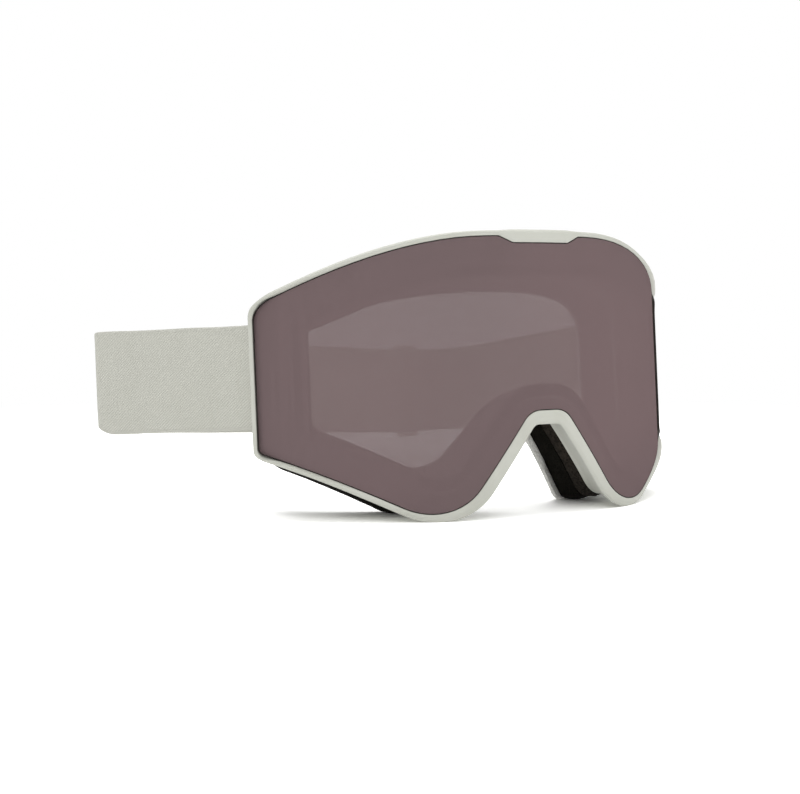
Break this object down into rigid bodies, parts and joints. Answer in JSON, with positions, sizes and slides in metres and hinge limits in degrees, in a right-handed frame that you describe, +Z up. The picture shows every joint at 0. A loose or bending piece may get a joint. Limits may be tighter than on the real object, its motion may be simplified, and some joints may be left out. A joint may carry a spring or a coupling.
{
  "type": "snowboard goggles",
  "caption": "Snowboard goggles: a curved magnetic lens in a white frame with layered face foam, on a wide woven strap with an adjuster and loose tail.",
  "frame": {"origin": "on the floor under the middle of the whole object, strap included", "axes": "+Z up, -Y the way the lens faces, +X to the right of someone who looks at the lens; the goggles rest on the cheek lobes of the frame and of the fleece"},
  "size_m": [0.2045, 0.2086, 0.0996],
  "materials": {
    "lens_tint": "gloss",
    "lens_clear": "gloss",
    "seal_foam": "matt",
    "gasket": "matt",
    "magnet": "satin",
    "frame": "satin",
    "vent_foam": "matt",
    "base_foam": "matt",
    "face_foam": "matt",
    "fleece": "matt",
    "pin": "satin",
    "strap": "matt",
    "slider": "satin",
    "thread": "matt"
  },
  "bodies": {
    "mask": {"frame": "frame", "frame_magnets": "magnet", "top_vent_foam": "vent_foam", "left_vent_foam": "vent_foam", "right_vent_foam": "vent_foam", "base_foam": "base_foam", "face_foam": "face_foam", "fleece": "fleece", "left_strap_pin": "pin", "right_strap_pin": "pin", "left_band": "strap", "right_band": "strap", "adjuster": "slider", "bartacks": "thread"},
    "lens_unit": {"outer_lens": "lens_tint", "inner_lens": "lens_clear", "lens_spacer": "seal_foam", "lens_gasket": "gasket", "lens_magnets": "magnet"},
    "keeper": {"tail_keeper": "slider"}
  },
  "joints": [
    {"name": "lens_slide", "type": "slide", "parent": "mask", "child": "lens_unit", "axis": [0, -0.9972, 0.075], "range_m": [0, 0.03]},
    {"name": "keeper_slide", "type": "slide", "parent": "mask", "child": "keeper", "axis": [0.9667, 0.2496, -0.0571], "range_m": [-0.055, 0.055]}
  ]
}
